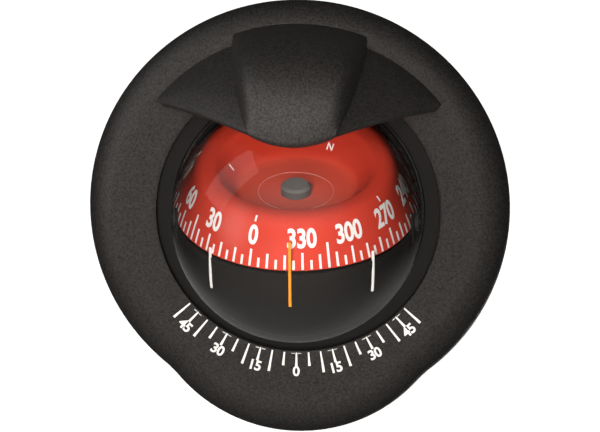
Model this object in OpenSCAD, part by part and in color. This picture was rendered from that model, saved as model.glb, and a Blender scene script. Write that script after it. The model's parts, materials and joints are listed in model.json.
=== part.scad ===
// Bulkhead steering compass: raked flange with chin and sun visor, clear
// liquid-filled dome, gimballed bowl and conical card, deviation compensators.
// Row frame: +X right seen from the front, +Y into the panel, +Z plumb up.
// The origin is where the barrel axis meets the panel face. All sizes in mm.

/* [Flange] */
// outer radius of the round flange
flange_r = 85; // [80:0.5:90]
// radius of the chin lobe below the flange
chin_r = 64.5; // [60:0.5:68]
// distance of the chin centre below the barrel axis
chin_drop = 29.5; // [26:0.5:33]
// radius of the window edge around the dome
window_r = 57; // [56.5:0.1:58]
// height of the flat face in front of the panel
face_w = 12.4; // [12:0.1:13]
// wall thickness of the flange moulding
shell_t = 2.8; // [2.4:0.1:3]
// width of the rounded rim
rim_round = 11; // [9:0.5:12]

/* [Mounting] */
// lean of the flange back from the vertical, in degrees
rake = 15; // [0:1:30]
// radius of the barrel behind the panel
barrel_r = 53; // [52.5:0.1:53.5]
// length of the barrel behind the panel
barrel_len = 48; // [46:0.5:60]
// diameter of the circle the fixing inserts stand on
insert_pcd = 148; // [146:0.5:150]
// radius of the bore in a fixing insert
insert_bore_r = 2; // [1.6:0.1:2.2]

/* [Dome] */
// outer radius of the clear dome
dome_r = 50; // [49:0.1:50.2]
// wall thickness of the dome
dome_t = 2.8; // [2.4:0.1:3]
// height of the dome centre in front of the panel
dome_w = 20.5; // [19:0.5:23]

/* [Visor] */
// radius the visor wings stand on
visor_r = 72.6; // [72:0.1:74]
// radius the raised centre panel stands on
panel_r = 76.6; // [75:0.1:78]
// angle of the wing tips from the top, in degrees
wing_tip_a = 52.4; // [48:0.1:56]
// angle of the wing seams from the top, in degrees
seam_a = 21.5; // [18:0.1:24]
// angle of the panel corners from the top, in degrees
panel_a = 20.4; // [18:0.1:24]
// height of the lip above the barrel axis
lip_v = 37.8; // [35:0.1:42]
// reach of the lip in front of the panel
lip_w = 62; // [58:0.5:66]
// wall thickness of the visor
visor_t = 2.4; // [2:0.1:3]

/* [Gimbal and card] */
// height of the gimbal centre in front of the panel
gimbal_w = 24; // [22:0.5:25]
// radius of the card rim
card_r = 38.4; // [37.6:0.1:38.6]
// heading that faces the front of the case, in degrees
card_heading = 337; // [0:1:359]

/* [Hidden] */
$fn = 72;
chin_c = [0, -chin_drop];
shoulder_w = 4;
base_w = 2;
flange_back = 2.5;
flange_front = 5.5;
dome_lip = 7.7;
clamp_top = 9.3;
dome_in = dome_r - dome_t;
insert_r = insert_pcd/2;
insert_a = [45, 135, 225, 315];
bezel_screw_r = 64.5;
bezel_screw_a = [20, 160, 200, 340];
clamp_screw_r = 57.4;
clamp_screw_a = [0, 60, 120, 180, 240, 300];
visor_screw = [[-15, 69.5], [15, 69.5]];
rear_w = -barrel_len;
pillar_r = 30;
pillar_a = [20, 160, 200, 340];
comp_u = 18;
comp_w = 4.6;
yoke_in = 41.4;
yoke_out = 45.4;
bowl_out = 39.6;
bowl_in = 37.9;
bowl_rim = -2.8;

// points of an arc in the profile plane
function arc(cx, cy, rx, ry, a0, a1, n) = [for (i = [0:n]) let (a = a0 + (a1 - a0)*i/n) [cx + rx*cos(a), cy + ry*sin(a)]];
function polar(r, a) = [r*cos(a), r*sin(a)];

// local frame: x right, y up the flange, z out of the panel towards the viewer
module raked() { rotate([90 - rake, 0, 0]) children(); }
// level frame with its origin at the gimbal centre: front is -y, z is plumb up
module level() { translate([0, -gimbal_w*cos(rake), gimbal_w*sin(rake)]) children(); }
// frame at the dome centre with z along a tilted rear direction
module rear_port(a) { translate([0, 0, dome_w]) rotate([a, 0, 0]) children(); }
module ring(ro, ri, z0, z1) { translate([0, 0, z0]) difference() { cylinder(r = ro, h = z1 - z0); translate([0, 0, -1]) cylinder(r = ri, h = z1 - z0 + 2); } }
module at_circle(r, angles) { for (a = angles) rotate([0, 0, a]) translate([r, 0, 0]) children(); }

// ---------------------------------------------------------------- case

// solid of one rounded disc of the flange outline
module rounded_disc(r) {
  rotate_extrude($fn = 144) polygon(concat([[0, base_w], [r - 0.8, base_w], [r, base_w + 0.8]],
    arc(r - rim_round, shoulder_w, rim_round, face_w - shoulder_w, 0, 90, 12), [[0, face_w]]));
}
module hollow_disc(r) {
  rotate_extrude($fn = 144) polygon(concat([[0, base_w - 1], [r - shell_t, base_w - 1]],
    arc(r - rim_round, shoulder_w, rim_round - shell_t, face_w - shoulder_w - shell_t, 0, 90, 8), [[0, face_w - shell_t]]));
}
module boss_at(p, r, z0, z1) { translate([p[0], p[1], z0]) cylinder(r = r, h = z1 - z0, $fn = 32); }

module front_bezel() color([0.09, 0.09, 0.09]) raked() {
  difference() {
    union() {
      difference() {
        union() { rounded_disc(flange_r); translate(chin_c) rounded_disc(chin_r); }
        difference() {
          union() { hollow_disc(flange_r); translate(chin_c) hollow_disc(chin_r); }
          // collar that carries the window lip
          translate([0, 0, clamp_top]) cylinder(r = 63, h = 10);
        }
      }
      for (a = insert_a) boss_at(polar(insert_r, a), 4.2, base_w, face_w - 1);
      for (a = bezel_screw_a) boss_at(polar(bezel_screw_r, a), 3.4, flange_front, face_w - 1);
    }
    translate([0, 0, clamp_top]) cylinder(r = window_r, h = 10, $fn = 144);
    translate([0, 0, base_w - 1]) cylinder(r = 60.3, h = clamp_top - base_w + 1, $fn = 144);
    for (a = insert_a) boss_at(polar(insert_r, a), 3, base_w - 1, 8.2);
    for (a = bezel_screw_a) boss_at(polar(bezel_screw_r, a), 1.55, base_w, 9.6);
    for (p = visor_screw) boss_at(p, 1.55, base_w, 20);
    for (s = [-1, 1]) translate([s*comp_u, -82, comp_w]) rotate([90, 0, 0]) cylinder(r = 1.4, h = 20, $fn = 24);
  }
}

// wing and panel surfaces of the visor, one column of points per station
cd = [0, 0, dome_w];
tip = [visor_r*sin(wing_tip_a), visor_r*cos(wing_tip_a), face_w];
corner = [15.9, lip_v + 3.7, lip_w - 2.5];
wing_n = [0.51, 0.695, 0.508];
seam_k = [23.6, 57.6, 38.4];
panel_k = [24.6, 60, 40.2];
panel_kc = [74.5, lip_w];
function mirror_u(p, s) = [s*p[0], p[1], p[2]];
function bez(e, k, l, t) = (1 - t)*(1 - t)*e + 2*t*(1 - t)*k + t*t*l;
function unit(v) = v/norm(v);
function inset(p, d) = p - d*unit(p - cd);
function wing_e(q) = let (a = wing_tip_a + (seam_a - wing_tip_a)*q) [visor_r*sin(a), visor_r*cos(a), face_w];
function wing_l(q) = tip + (corner - tip)*q + wing_n*2.5*4*q*(1 - q);
function wing_k(q) = (wing_e(q) + wing_l(q))/2 + (seam_k - (wing_e(1) + wing_l(1))/2)*sqrt(q);
function wing_o(q, t) = bez(wing_e(q), wing_k(q), wing_l(q), t);
function flat_base(p, t) = [p[0], p[1], t == 0 ? face_w : max(p[2], face_w + 0.4*t)];
function wing_i(q, t) = let (e = wing_e(q)) t == 0 ? [e[0]*(1 - visor_t/visor_r), e[1]*(1 - visor_t/visor_r), face_w] : flat_base(inset(wing_o(q, t), visor_t), t);
function panel_e(p, r) = [r*sin(panel_a*p), r*cos(panel_a*p), face_w];
function panel_l(p) = [corner[0]*p, lip_v + 3.7*p*p, lip_w - 2.5*p*p];
function panel_o(p, t) = let (k = [panel_k[0]*p, panel_kc[0] + (panel_k[1] - panel_kc[0])*p*p, panel_kc[1] + (panel_k[2] - panel_kc[1])*p*p], l = panel_l(p))
  bez(panel_e(p, panel_r), k, l + 0.7*unit(l - cd), t);
function panel_i(p, t) = let (k = [22.8*p, 71.5 + (55.5 - 71.5)*p*p, lip_w - 3.5 + (37.8 - lip_w + 3.5)*p*p])
  bez(panel_e(p, visor_r - visor_t), k, inset(panel_l(p), visor_t), t);

wn = 9;
pn = 16;
rn = 14;
cols_q = [for (i = [0:wn]) 0.05 + 0.95*i/wn];
cols_o = concat(
  [for (q = cols_q) [for (j = [0:rn]) mirror_u(wing_o(q, j/rn), -1)]],
  [for (i = [0:pn]) [for (j = [0:rn]) panel_o(-1 + 2*i/pn, j/rn)]],
  [for (i = [wn:-1:0]) [for (j = [0:rn]) wing_o(cols_q[i], j/rn)]]);
cols_i = concat(
  [for (q = cols_q) [for (j = [0:rn]) mirror_u(wing_i(q, j/rn), -1)]],
  [for (i = [0:pn]) [for (j = [0:rn]) panel_i((-1 + 2*i/pn)*0.97, j/rn)]],
  [for (i = [wn:-1:0]) [for (j = [0:rn]) wing_i(cols_q[i], j/rn)]]);
nc = len(cols_o);
module visor_shell() {
  pts = concat([for (c = cols_o) each c], [for (c = cols_i) each c]);
  m = rn + 1;
  b = nc*m;
  quads = concat(
    [for (i = [0:nc - 2]) for (j = [0:rn - 1]) [i*m + j, (i + 1)*m + j, (i + 1)*m + j + 1, i*m + j + 1]],
    [for (i = [0:nc - 2]) for (j = [0:rn - 1]) [b + i*m + j + 1, b + (i + 1)*m + j + 1, b + (i + 1)*m + j, b + i*m + j]],
    [for (i = [0:nc - 2]) [(i + 1)*m, i*m, b + i*m, b + (i + 1)*m]],
    [for (i = [0:nc - 2]) [i*m + rn, (i + 1)*m + rn, b + (i + 1)*m + rn, b + i*m + rn]],
    [for (j = [0:rn - 1]) [j, j + 1, b + j + 1, b + j]],
    [for (j = [0:rn - 1]) [(nc - 1)*m + j + 1, (nc - 1)*m + j, b + (nc - 1)*m + j, b + (nc - 1)*m + j + 1]]);
  polyhedron(points = pts, faces = [for (f = quads) each [[f[0], f[1], f[2]], [f[0], f[2], f[3]]]], convexity = 6);
}
module sun_visor() color([0.1, 0.1, 0.1]) raked() {
  difference() {
    union() { visor_shell(); for (p = visor_screw) boss_at(p, 3.2, face_w, face_w + 10); }
    for (p = visor_screw) boss_at(p, 1.55, face_w - 1, face_w + 8);
  }
}
module visor_screws() color([0.6, 0.6, 0.6]) raked() for (p = visor_screw) {
  boss_at(p, 1.5, face_w - shell_t, face_w + 7);
  boss_at(p, 2.7, face_w - shell_t - 1.8, face_w - shell_t);
}

module panel_gasket() color([0.05, 0.05, 0.05]) raked() linear_extrude(height = base_w) difference() {
  union() { circle(r = flange_r - 2, $fn = 144); translate(chin_c) circle(r = chin_r - 2, $fn = 144); }
  circle(r = 69.4, $fn = 144);
  for (a = insert_a) translate(polar(insert_r, a)) circle(r = insert_bore_r + 0.4, $fn = 24);
}
module fixing_inserts() color([0.75, 0.6, 0.3]) raked() at_circle(insert_r, insert_a) ring(2.95, insert_bore_r, base_w, 8);

module dome() color([0.9, 0.95, 1, 0.3]) raked() rotate_extrude($fn = 96) polygon(concat(
  [[54.5, flange_front], [54.5, dome_lip], [dome_r, dome_lip]], arc(0, dome_w, dome_r, dome_r, 0, 90, 20),
  arc(0, dome_w, dome_in, dome_in, 90, 0, 20), [[dome_in, flange_front]]));
module dome_seal() color([0.03, 0.03, 0.03]) raked() ring(53, 50.8, 4, flange_front);
module clamp_ring() color([0.07, 0.07, 0.07]) raked() difference() {
  rotate_extrude($fn = 144) polygon([[54.8, flange_front], [60, flange_front], [60, clamp_top], [51, clamp_top], [50.4, clamp_top - 0.5], [50.4, dome_lip], [54.8, dome_lip]]);
  at_circle(clamp_screw_r, clamp_screw_a) translate([0, 0, flange_front - 1]) cylinder(r = 1.55, h = 3.6, $fn = 24);
}
module clamp_screws() color([0.6, 0.6, 0.6]) raked() at_circle(clamp_screw_r, clamp_screw_a) {
  translate([0, 0, flange_back]) cylinder(r1 = 2.8, r2 = 1.5, h = 1.3, $fn = 24);
  translate([0, 0, flange_back]) cylinder(r = 1.5, h = 5.2, $fn = 24);
}

module cavity() {
  rotate_extrude($fn = 96) polygon(concat([[0, flange_front + 1], [sqrt(dome_in*dome_in - pow(dome_w - flange_front, 2)), flange_front + 1]],
    arc(0, dome_w, dome_in, dome_in, -asin((dome_w - flange_front)/dome_in), -90, 20)));
}
// plate that carries the dome, the bezel and the rear bowl
module capsule_flange() color([0.08, 0.08, 0.08]) raked() difference() {
  ring(68, 40, flange_back, flange_front);
  cavity();
  // groove for the dome seal
  ring(53, 50.8, 4, 8);
  at_circle(clamp_screw_r, clamp_screw_a) { translate([0, 0, 1]) cylinder(r = 1.55, h = 6, $fn = 24); translate([0, 0, flange_back]) cylinder(r1 = 2.85, r2 = 1.55, h = 1.3, $fn = 24); }
  at_circle(bezel_screw_r, bezel_screw_a) translate([0, 0, 1]) cylinder(r = 1.55, h = 6, $fn = 24);
}
// rear bowl of the liquid capsule, welded to the plate
module capsule_body() color([0.08, 0.08, 0.08]) raked() difference() {
  union() {
    rotate_extrude($fn = 96) polygon(concat([[0, flange_back]],
      arc(0, dome_w, 50.2, 50.2, -asin((dome_w - flange_back)/50.2), -90, 20)));
    translate([0, 0, -29.8]) cylinder(r = 12, h = 8);
    translate([0, 0, -36]) cylinder(r = 9, h = 12);
    at_circle(pillar_r, pillar_a) translate([0, 0, rear_w + 2]) cylinder(r = 4, h = 34, $fn = 32);
    rear_port(135) translate([0, 0, 40]) cylinder(r = 13, h = 13.5, $fn = 48);
    rear_port(-135) translate([0, 0, 40]) cylinder(r = 7, h = 13, $fn = 32);
  }
  cavity();
  // bore and spot face for the roll bush
  translate([0, 0, -40]) cylinder(r = 5, h = 20, $fn = 48);
  translate([0, 0, -26.8]) cylinder(r = 7.2, h = 4, $fn = 48);
  at_circle(pillar_r, pillar_a) translate([0, 0, rear_w]) cylinder(r = 1.3, h = 12, $fn = 24);
  rear_port(135) { translate([0, 0, 40]) cylinder(r = 8, h = 20, $fn = 48); at_circle(10.5, [45, 135, 225, 315]) translate([0, 0, 48.5]) cylinder(r = 1.05, h = 8, $fn = 20); }
  rear_port(-135) translate([0, 0, 40]) cylinder(r = 3.5, h = 20, $fn = 32);
}
module bezel_screws() color([0.6, 0.6, 0.6]) raked() at_circle(bezel_screw_r, bezel_screw_a) {
  translate([0, 0, flange_back - 1.7]) cylinder(r = 2.7, h = 1.7, $fn = 32);
  translate([0, 0, flange_back]) cylinder(r = 1.5, h = 6.5, $fn = 24);
}

module expansion_diaphragm() color([0.1, 0.08, 0.07]) raked() rear_port(135) difference() {
  union() { translate([0, 0, 53.5]) cylinder(r = 12.6, h = 1.1, $fn = 48); translate([0, 0, 52.2]) cylinder(r = 7, h = 1.5, $fn = 48); }
  at_circle(10.5, [45, 135, 225, 315]) translate([0, 0, 50]) cylinder(r = 1.1, h = 8, $fn = 20);
}
module diaphragm_cover() color([0.09, 0.09, 0.09]) raked() rear_port(135) difference() {
  translate([0, 0, 54.6]) cylinder(r = 12.6, h = 1.6, $fn = 48);
  translate([0, 0, 50]) cylinder(r = 2, h = 12, $fn = 24);
  at_circle(10.5, [45, 135, 225, 315]) translate([0, 0, 50]) cylinder(r = 1.1, h = 8, $fn = 20);
}
module diaphragm_screws() color([0.6, 0.6, 0.6]) raked() rear_port(135) at_circle(10.5, [45, 135, 225, 315]) {
  translate([0, 0, 49]) cylinder(r = 1, h = 7.2, $fn = 20);
  translate([0, 0, 56.2]) cylinder(r = 1.9, h = 1.2, $fn = 24);
}
module filler_plug() color([0.75, 0.6, 0.3]) raked() rear_port(-135) difference() {
  union() { translate([0, 0, 47.4]) cylinder(r = 3.45, h = 7, $fn = 32); translate([0, 0, 54]) cylinder(r = 5.5, h = 2.4, $fn = 32); }
  translate([-6, -0.6, 55.4]) cube([12, 1.2, 4]);
}
module filler_seal() color([0.05, 0.05, 0.05]) raked() rear_port(-135) ring(5.5, 3.5, 53, 54);

module gimbal_bush() color([0.75, 0.6, 0.3]) raked() difference() {
  union() { translate([0, 0, -36]) cylinder(r = 5, h = 9.2, $fn = 48); translate([0, 0, -26.8]) cylinder(r = 7, h = 1.6, $fn = 48); }
  translate([0, 0, -40]) cylinder(r = 3.05, h = 20, $fn = 48);
}
module pivot_cap() color([0.09, 0.09, 0.09]) raked() difference() {
  translate([0, 0, -42]) cylinder(r = 11.5, h = 11, $fn = 48);
  translate([0, 0, -40]) cylinder(r = 9.05, h = 12, $fn = 48);
}
module pivot_cap_seal() color([0.05, 0.05, 0.05]) raked() ring(11.5, 9.05, -31, -29.8);

module rear_cover() color([0.09, 0.09, 0.09]) raked() difference() {
  rotate_extrude($fn = 144) polygon([[0, rear_w], [51.5, rear_w], [barrel_r, rear_w + 1.5], [barrel_r, 0], [barrel_r - 0.6, 0], [barrel_r - 0.6, flange_back], [barrel_r - 2, flange_back], [barrel_r - 2, rear_w + 2], [0, rear_w + 2]]);
  at_circle(pillar_r, pillar_a) translate([0, 0, rear_w - 1]) cylinder(r = 1.6, h = 5, $fn = 24);
  translate([0, 36, rear_w - 1]) cylinder(r = 4, h = 5, $fn = 32);
  // breather holes behind the diaphragm
  for (u = [-8, 0, 8]) translate([u, -38, rear_w - 1]) cylinder(r = 1.5, h = 5, $fn = 24);
}
module rear_cover_screws() color([0.6, 0.6, 0.6]) raked() at_circle(pillar_r, pillar_a) {
  translate([0, 0, rear_w - 1.8]) cylinder(r = 2.8, h = 1.8, $fn = 32);
  translate([0, 0, rear_w]) cylinder(r = 1.25, h = 9, $fn = 24);
}
module lead_grommet() color([0.05, 0.05, 0.05]) raked() translate([0, 36, 0]) difference() {
  union() {
    translate([0, 0, rear_w - 2]) cylinder(r = 6, h = 2, $fn = 32);
    translate([0, 0, rear_w - 0.5]) cylinder(r = 4, h = 3, $fn = 32);
    translate([0, 0, rear_w + 2]) cylinder(r = 6, h = 1.6, $fn = 32);
  }
  translate([0, 0, rear_w - 5]) cylinder(r = 1.6, h = 12, $fn = 24);
}

module lamp_holder() color([0.09, 0.09, 0.09]) raked() difference() {
  translate([-7, 60, face_w]) cube([14, 6, 9]);
  translate([0, 59, face_w + 5]) rotate([-90, 0, 0]) cylinder(r = 1.65, h = 5, $fn = 24);
}
module lamp_led() color([0.9, 0.9, 0.85]) raked() translate([0, 0, face_w + 5]) {
  translate([0, 58.6, 0]) rotate([-90, 0, 0]) cylinder(r = 1.6, h = 5, $fn = 24);
  translate([0, 58.6, 0]) rotate([90, 0, 0]) cylinder(r1 = 1.6, r2 = 0.8, h = 0.8, $fn = 24);
}
module lamp_lens() color([0.8, 0.1, 0.05, 0.6]) raked() translate([0, 0, face_w + 5]) difference() {
  translate([0, 60, 0]) rotate([90, 0, 0]) cylinder(r = 3.4, h = 3.2, $fn = 32);
  translate([0, 61, 0]) rotate([90, 0, 0]) cylinder(r = 1.8, h = 3.4, $fn = 32);
}

// ---------------------------------------------------------------- compensators

module compensator_carrier() color([0.12, 0.12, 0.12]) raked() difference() {
  translate([-26, -82, 2.2]) cube([52, 12, 4.8]);
  for (s = [-1, 1]) translate([s*comp_u, -71, comp_w]) rotate([90, 0, 0]) cylinder(r = 1.95, h = 20, $fn = 32);
}
module rotor(s) raked() translate([s*comp_u, -71.2, comp_w]) difference() {
  rotate([90, 0, 0]) cylinder(r = 1.9, h = 11, $fn = 32);
  translate([-3, -12, -0.4]) cube([6, 2.2, 0.8]);
  rotate([90, 0, 0]) translate([0, 0, 3]) rotate([0, s > 0 ? 90 : 0, 0]) rotate([s > 0 ? 0 : 90, 0, 0]) translate([0, 0, -2.6]) cylinder(r = 0.8, h = 5.2, $fn = 20);
}
module rotor_magnet(s) raked() translate([s*comp_u, -71.2, comp_w]) rotate([90, 0, 0]) translate([0, 0, 3])
  rotate([0, s > 0 ? 90 : 0, 0]) rotate([s > 0 ? 0 : 90, 0, 0]) translate([0, 0, -1.6]) cylinder(r = 0.8, h = 3.2, $fn = 20);
module compensator_rotor_ns() color([0.75, 0.6, 0.3]) rotor(-1);
module compensator_magnet_ns() color([0.45, 0.45, 0.45]) rotor_magnet(-1);
module compensator_rotor_ew() color([0.75, 0.6, 0.3]) rotor(1);
module compensator_magnet_ew() color([0.45, 0.45, 0.45]) rotor_magnet(1);

// ---------------------------------------------------------------- gimbal

module gimbal_yoke() color([0.07, 0.07, 0.07]) raked() difference() {
  union() {
    // half ring behind the bowl, in the plane of the two axes
    translate([0, 0, gimbal_w]) rotate([-90, 0, 0]) rotate_extrude(angle = 180, $fn = 96) translate([yoke_in, -3]) square([yoke_out - yoke_in, 6]);
    // arm ends that carry the pitch pins
    for (s = [-1, 1]) translate([s*(yoke_in + 0.2), 0, gimbal_w]) rotate([0, s*90, 0]) cylinder(r = 3, h = 3.7, $fn = 48);
    // hub and roll shaft
    translate([0, 0, -24.8]) cylinder(r = 6, h = 5, $fn = 48);
    translate([0, 0, -39]) cylinder(r = 3, h = 17, $fn = 48);
  }
  // keep the ring clear of the bowl
  translate([0, 0, gimbal_w]) rotate([-90, 0, 0]) translate([0, 0, -5]) cylinder(r = yoke_in, h = 10, $fn = 96);
  rotate([0, 90, 0]) translate([-gimbal_w, 0, -60]) cylinder(r = 1, h = 120, $fn = 32);
}
module yoke_collar() color([0.75, 0.6, 0.3]) raked() ring(5.5, 3, -38.6, -36.3);
module pitch_pins() color([0.6, 0.6, 0.6]) level() for (s = [-1, 1]) translate([s*39.1, 0, 0]) rotate([0, s*90, 0]) cylinder(r = 1, h = 6, $fn = 32);

// ---------------------------------------------------------------- bowl

// an upright lubber line in front of the card: let into the bowl rim, with a peg into the bowl at its foot
module strip(w, z_top, z_low, a) rotate([0, 0, a]) {
  translate([-w/2, -40, z_low]) cube([w, 1.1, z_top - z_low]);
  translate([-w/2, -39.5, z_low + 0.2]) cube([w, 4.3, 1]);
}
module gimbal_bowl() color([0.06, 0.06, 0.06]) level() difference() {
  union() {
    rotate_extrude($fn = 96) polygon(concat(arc(0, 0, bowl_out, bowl_out, asin(bowl_rim/bowl_out), -90, 20), [[0, -34]],
      [[sqrt(bowl_in*bowl_in - 34*34), -34]], arc(0, 0, bowl_in, bowl_in, -asin(34/bowl_in) + 0.01, asin(bowl_rim/bowl_in), 16)));
    // ears for the pitch pins
    for (s = [-1, 1]) scale([s, 1, 1]) {
      translate([39, 0, 0]) rotate([0, 90, 0]) cylinder(r = 3, h = 1.6, $fn = 32);
      translate([39, -3, -6.6]) cube([1.6, 6, 6.6]);
      translate([38.4, -3, -6.6]) cube([2.2, 6, 3.4]);
    }
  }
  rotate([0, 90, 0]) translate([0, 0, -60]) cylinder(r = 1.05, h = 120, $fn = 32);
  strip(1.1, 10.5, -16.5, 0);
  strip(0.8, 1.2, -15.5, -48.4);
  strip(0.8, 1.2, -15.5, 48.4);
}
module lubber_line_centre() color([1, 0.5, 0.02]) level() strip(1.1, 10.5, -16.5, 0);
module lubber_line_port() color([0.95, 0.95, 0.93]) level() strip(0.8, 1.2, -15.5, -48.4);
module lubber_line_starboard() color([0.95, 0.95, 0.93]) level() strip(0.8, 1.2, -15.5, 48.4);
module ballast_weight() color([0.75, 0.6, 0.3]) level() ring(16, 3, -34, -28);
module pivot_post() color([0.75, 0.6, 0.3]) level() difference() {
  union() { translate([0, 0, -34]) cylinder(r = 3, h = 34, $fn = 48); translate([0, 0, -28]) cylinder(r = 5, h = 2, $fn = 48); }
  translate([0, 0, -4]) cylinder(r = 0.6, h = 6, $fn = 24);
}
module pivot_needle() color([0.65, 0.65, 0.65]) level() rotate_extrude($fn = 24) polygon([[0, -4], [0.6, -4], [0.6, 6.3], [0.1, 6.7], [0, 6.7]]);

// ---------------------------------------------------------------- card

module turned() rotate([0, 0, card_heading - 360]) children();
module compass_card() color([0.72, 0.05, 0.03]) level() rotate_extrude($fn = 96) polygon(concat(
  [[card_r, -1.6], [card_r - 5, 12.7]], [[card_r - 5.5, 14], [card_r - 6.4, 15.2], [card_r - 7.8, 16.2], [card_r - 9.4, 16.8], [card_r - 11, 17], [card_r - 13, 16.8]],
  [[24.4, 16.2], [17.6, 9.3], [16.8, 9]], [[3.5, 9], [3.5, 8]], [[17.2, 8], [18, 8.4], [25, 15.4], [26, 15.9]],
  [[card_r - 11, 16], [card_r - 9.7, 15.8], [card_r - 8.4, 15.3], [card_r - 7.3, 14.5], [card_r - 6.5, 13.5], [card_r - 6.1, 12.4], [card_r - 1.2, -1.6]]));
module card_hub() color([0.2, 0.2, 0.2]) level() rotate_extrude($fn = 48) polygon([[0, 8.5], [2.2, 8.5], [2.2, 3.5], [3.5, 3.5], [3.5, 9], [4.5, 9], [4.5, 11.2], [3.7, 12], [0, 12]]);
module jewel_cup() color([0.75, 0.6, 0.3]) level() rotate_extrude($fn = 48) polygon([[0, 7.5], [1.5, 7.5], [1.5, 4.5], [2.2, 4.5], [2.2, 8.5], [0, 8.5]]);
module jewel() color([0.6, 0.1, 0.2]) level() rotate_extrude($fn = 48) polygon([[0, 6.8], [0.66, 6.8], [0.66, 5.4], [1.5, 5.4], [1.5, 7.5], [0, 7.5]]);
module card_float() color([0.85, 0.85, 0.8]) level() ring(14, 4, -3, 8);
module magnet_carrier() color([0.75, 0.75, 0.76]) level() ring(14, 5, -4, -3);
module card_magnets() color([0.45, 0.45, 0.45]) level() turned() for (s = [-1, 1]) translate([s*8 - 2.5, -11, -8]) cube([5, 22, 4]);

// ---------------------------------------------------------------- output

front_bezel();
sun_visor();
visor_screws();
panel_gasket();
fixing_inserts();
dome();
dome_seal();
clamp_ring();
clamp_screws();
capsule_flange();
capsule_body();
bezel_screws();
expansion_diaphragm();
diaphragm_cover();
diaphragm_screws();
filler_plug();
filler_seal();
gimbal_bush();
pivot_cap();
pivot_cap_seal();
rear_cover();
rear_cover_screws();
lead_grommet();
lamp_holder();
lamp_led();
lamp_lens();
compensator_carrier();
compensator_rotor_ns();
compensator_magnet_ns();
compensator_rotor_ew();
compensator_magnet_ew();
gimbal_yoke();
yoke_collar();
pitch_pins();
gimbal_bowl();
ballast_weight();
pivot_post();
pivot_needle();
lubber_line_centre();
lubber_line_port();
lubber_line_starboard();
compass_card();
card_hub();
jewel_cup();
jewel();
card_float();
magnet_carrier();
card_magnets();
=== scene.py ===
"""Looks of a bulkhead steering compass: moulded flange with chin and sun visor, liquid-filled dome, conical card.

Row frame in metres: +X right seen from the front, +Y into the panel, +Z plumb up. Sizes below are in millimetres.
(u, v, w) is the flange's own frame: u right, v up the leaning face, w out of the panel towards the viewer.
"""

import json
import math

import bmesh
import bpy
from mathutils import Matrix, Vector


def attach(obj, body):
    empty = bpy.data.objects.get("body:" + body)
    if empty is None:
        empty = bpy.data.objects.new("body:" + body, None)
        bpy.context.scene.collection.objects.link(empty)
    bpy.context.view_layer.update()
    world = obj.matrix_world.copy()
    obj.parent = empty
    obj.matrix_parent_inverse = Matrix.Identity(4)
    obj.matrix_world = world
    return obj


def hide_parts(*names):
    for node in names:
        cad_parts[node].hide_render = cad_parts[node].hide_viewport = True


MM = 0.001
COS, SIN = math.cos(math.radians(15)), math.sin(math.radians(15))

# the same sizes as the part's source, with a softer roll-off at the rim
FLANGE_R, CHIN_R, CHIN_DROP = 85.0, 63.9, 29.5
WINDOW_R, FACE_W, SHELL_T, RIM = 57.0, 12.4, 2.8, 14.5
BASE_W, SHOULDER_W, CLAMP_TOP = 2.0, 4.0, 9.3
DOME_R, DOME_IN, DOME_W = 50.0, 47.2, 20.5
VISOR_R, PANEL_R, TIP_A, SEAM_A, PANEL_A = 72.6, 76.6, 52.4, 21.5, 20.4
LIP_V, LIP_W, VISOR_T = 37.8, 62.0, 2.4
GIMBAL_W, CARD_HEADING = 24.0, 337.0
# the rim's roll-off is an arc that meets the base; REACH is its width in plan
ROLL_OFF = math.degrees(math.asin((BASE_W + 0.8 - FACE_W + RIM) / RIM))
REACH = RIM * math.cos(math.radians(ROLL_OFF))

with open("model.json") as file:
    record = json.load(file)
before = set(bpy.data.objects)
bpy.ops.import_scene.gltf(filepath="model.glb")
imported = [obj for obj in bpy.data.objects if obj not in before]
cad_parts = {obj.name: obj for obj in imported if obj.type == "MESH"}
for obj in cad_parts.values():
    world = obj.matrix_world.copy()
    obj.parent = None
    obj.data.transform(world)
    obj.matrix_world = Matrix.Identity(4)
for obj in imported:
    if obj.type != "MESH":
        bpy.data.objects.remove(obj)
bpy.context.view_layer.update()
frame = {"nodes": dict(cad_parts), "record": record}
scene = bpy.context.scene


def tilt(p):
    """A point of the flange's frame in the row frame, in metres."""
    u, v, w = p
    return Vector((u, v * SIN - w * COS, v * COS + w * SIN)) * MM


GIMBAL = tilt((0, 0, GIMBAL_W))


def level(p):
    """A point of the level gimbal frame in the row frame, in metres."""
    return GIMBAL + Vector(p) * MM


# ---------------------------------------------------------------- materials


def new_material(name):
    m = bpy.data.materials.new(name)
    m.use_nodes = True
    t = m.node_tree
    t.nodes.clear()
    out = t.nodes.new("ShaderNodeOutputMaterial")
    b = t.nodes.new("ShaderNodeBsdfPrincipled")
    t.links.new(b.outputs["BSDF"], out.inputs["Surface"])
    return m, t, b


def noise(t, scale, detail=2.0, stretch=None, rough=0.5):
    """A noise texture on the object's own coordinates."""
    co = t.nodes.new("ShaderNodeTexCoord")
    n = t.nodes.new("ShaderNodeTexNoise")
    n.inputs["Scale"].default_value = scale
    n.inputs["Detail"].default_value = detail
    n.inputs["Roughness"].default_value = rough
    if stretch:
        mp = t.nodes.new("ShaderNodeMapping")
        mp.inputs["Scale"].default_value = stretch
        t.links.new(co.outputs["Object"], mp.inputs["Vector"])
        t.links.new(mp.outputs["Vector"], n.inputs["Vector"])
    else:
        t.links.new(co.outputs["Object"], n.inputs["Vector"])
    return n


def ramp(t, fac, stops):
    r = t.nodes.new("ShaderNodeValToRGB")
    e = r.color_ramp.elements
    while len(e) < len(stops):
        e.new(0.5)
    for k, (pos, col) in zip(e, stops):
        k.position = pos
        k.color = (*col, 1)
    t.links.new(fac, r.inputs["Fac"])
    return r


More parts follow.
